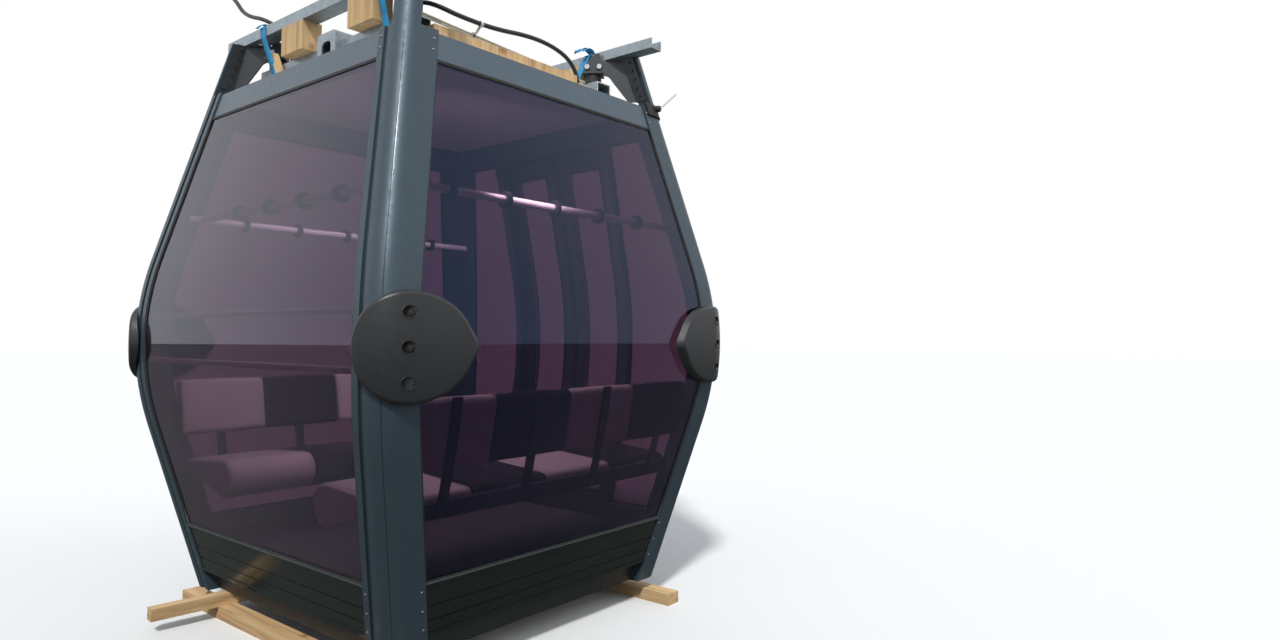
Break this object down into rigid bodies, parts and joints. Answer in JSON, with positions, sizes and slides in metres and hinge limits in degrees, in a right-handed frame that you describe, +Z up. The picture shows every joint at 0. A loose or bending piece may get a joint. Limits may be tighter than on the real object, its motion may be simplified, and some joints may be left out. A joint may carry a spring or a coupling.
{
  "type": "cable car cabin",
  "caption": "Gondola lift cabin with leaning curved window walls, sliding double door, facing benches and channel beams for a hanger, parked on timber bearers.",
  "frame": {"origin": "on the ground, at the middle of the object's outline as seen from above", "axes": "+X along the line of travel, +Y toward the doors, +Z up"},
  "size_m": [2.184, 2.11, 3.2308],
  "materials": {
    "timber": "raw sawn softwood",
    "frame_steel": "satin black paint",
    "floor_covering": "ribbed grey floor covering",
    "post_paint": "satin anthracite metallic paint",
    "skirt_gloss": "gloss dark green-black",
    "tinted_pane": "smoke tinted clear plastic",
    "door_paint": "satin dark paint",
    "galvanised": "galvanised",
    "cover_plastic": "fine grained black moulding",
    "roof_skin": "white gel coat",
    "gusset_paint": "charcoal powder coat",
    "black_rubber": "moulded rubber",
    "light_upholstery": "light grey vinyl",
    "dark_upholstery": "black vinyl",
    "cable_sheath": "black cable sheath",
    "rail_aluminium": "satin anodised tube"
  },
  "bodies": {
    "cabin": {"lower_bearers": "timber", "upper_bearers": "timber", "packing_timbers": "timber", "edge_beams": "frame_steel", "floor_joists": "frame_steel", "floor_panel": "floor_covering", "post_front_door": "post_paint", "post_back_door": "post_paint", "post_front_window": "post_paint", "post_back_window": "post_paint", "header_front": "post_paint", "header_back": "post_paint", "header_door": "post_paint", "header_window": "post_paint", "skirt_front": "skirt_gloss", "skirt_back": "skirt_gloss", "skirt_window": "skirt_gloss", "skirt_door": "skirt_gloss", "pane_front": "tinted_pane", "pane_back": "tinted_pane", "pane_window": "tinted_pane", "door_side_panes": "tinted_pane", "door_jambs": "door_paint", "door_track": "post_paint", "door_guide": "post_paint", "waist_covers": "cover_plastic", "roof_panel": "roof_skin", "roof_frame": "galvanised", "hanger_beam_door": "galvanised", "hanger_beam_window": "galvanised", "knee_gussets": "gusset_paint", "dampers": "black_rubber", "bench_frame_front": "gusset_paint", "bench_frame_back": "gusset_paint", "cushions_light": "light_upholstery", "cushions_dark": "dark_upholstery", "backrests_light": "light_upholstery", "backrests_dark": "dark_upholstery", "grab_rail": "rail_aluminium", "grip_rings": "black_rubber", "window_rails": "rail_aluminium", "roof_cable": "cable_sheath"},
    "door_front": {"door_leaf_front": "door_paint", "door_pane_front": "tinted_pane", "door_hangers_front": "galvanised"},
    "door_back": {"door_leaf_back": "door_paint", "door_pane_back": "tinted_pane", "door_hangers_back": "galvanised"}
  },
  "joints": [
    {"name": "door_front_slide", "type": "slide", "parent": "cabin", "child": "door_front", "axis": [1, 0, 0], "range_m": [0, 0.4]},
    {"name": "door_back_slide", "type": "slide", "parent": "cabin", "child": "door_back", "axis": [-1, 0, 0], "range_m": [0, 0.4]}
  ],
  "couplings": [
    {"joint": "door_back_slide", "follows": "door_front_slide", "ratio": 1}
  ]
}
